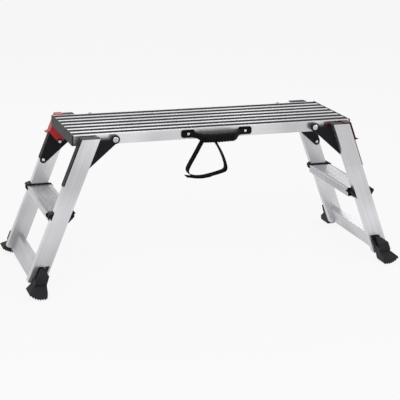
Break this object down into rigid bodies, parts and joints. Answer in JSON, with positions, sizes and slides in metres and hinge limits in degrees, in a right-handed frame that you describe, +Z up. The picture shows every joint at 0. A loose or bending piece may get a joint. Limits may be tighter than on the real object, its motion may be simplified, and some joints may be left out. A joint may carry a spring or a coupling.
{
  "type": "folding work platform bench",
  "caption": "Low folding aluminium work platform with a ribbed deck, two leaning leg frames with a step each, release levers and a carry handle.",
  "frame": {"origin": "on the floor under the middle of the deck", "axes": "+X along the deck, +Y from front to back, +Z up"},
  "size_m": [1.34, 0.532, 0.5126],
  "materials": {
    "aluminium": "satin anodised extrusion",
    "dark_plastic": "fine moulded texture",
    "grip_rubber": "ribbed matte",
    "foot_rubber": "matte moulded",
    "red_plastic": "smooth moulded",
    "webbing": "woven webbing",
    "steel": "zinc plated"
  },
  "bodies": {
    "deck": {"carry_handle": "foot_rubber", "carry_strap": "webbing", "centre_cross_member": "aluminium", "deck_panel": "aluminium", "front_rail": "aluminium", "grip_strips": "grip_rubber", "handle_screws": "steel", "left_cross_member": "aluminium", "left_end_cap": "dark_plastic", "left_pivot_bolts": "steel", "rear_rail": "aluminium", "right_cross_member": "aluminium", "right_end_cap": "dark_plastic", "right_pivot_bolts": "steel"},
    "right_leg": {"right_bracket_rivets": "steel", "right_foot_screws": "steel", "right_front_foot": "foot_rubber", "right_front_hinge_bracket": "dark_plastic", "right_front_step_bracket": "dark_plastic", "right_front_stile": "aluminium", "right_front_stile_lid": "dark_plastic", "right_latch_pin": "steel", "right_latch_spring": "steel", "right_rear_foot": "foot_rubber", "right_rear_hinge_bracket": "dark_plastic", "right_rear_step_bracket": "dark_plastic", "right_rear_stile": "aluminium", "right_rear_stile_lid": "dark_plastic", "right_step_tread": "aluminium", "right_stretcher": "aluminium"},
    "left_leg": {"left_bracket_rivets": "steel", "left_foot_screws": "steel", "left_front_foot": "foot_rubber", "left_front_hinge_bracket": "dark_plastic", "left_front_step_bracket": "dark_plastic", "left_front_stile": "aluminium", "left_front_stile_lid": "dark_plastic", "left_latch_pin": "steel", "left_latch_spring": "steel", "left_rear_foot": "foot_rubber", "left_rear_hinge_bracket": "dark_plastic", "left_rear_step_bracket": "dark_plastic", "left_rear_stile": "aluminium", "left_rear_stile_lid": "dark_plastic", "left_step_tread": "aluminium", "left_stretcher": "aluminium"},
    "right_latch": {"right_latch_lever": "red_plastic"},
    "left_latch": {"left_latch_lever": "red_plastic"}
  },
  "joints": [
    {"name": "right_leg_fold", "type": "hinge", "parent": "deck", "child": "right_leg", "pos_m": [0.3575, 0, 0.495], "axis": [0, 1, 0], "range_deg": [0, 112], "deforming": ["carry_strap"]},
    {"name": "left_leg_fold", "type": "hinge", "parent": "deck", "child": "left_leg", "pos_m": [-0.3575, 0, 0.495], "axis": [0, -1, 0], "range_deg": [0, 94]},
    {"name": "right_latch_press", "type": "hinge", "parent": "right_leg", "child": "right_latch", "pos_m": [0.4687, 0, 0.415], "axis": [0, 1, 0], "range_deg": [0, 6], "stiffness_Nm_per_rad": 0.8, "springref_deg": -17.19},
    {"name": "left_latch_press", "type": "hinge", "parent": "left_leg", "child": "left_latch", "pos_m": [-0.4687, 0, 0.415], "axis": [0, -1, 0], "range_deg": [0, 6], "stiffness_Nm_per_rad": 0.8, "springref_deg": -17.19}
  ]
}
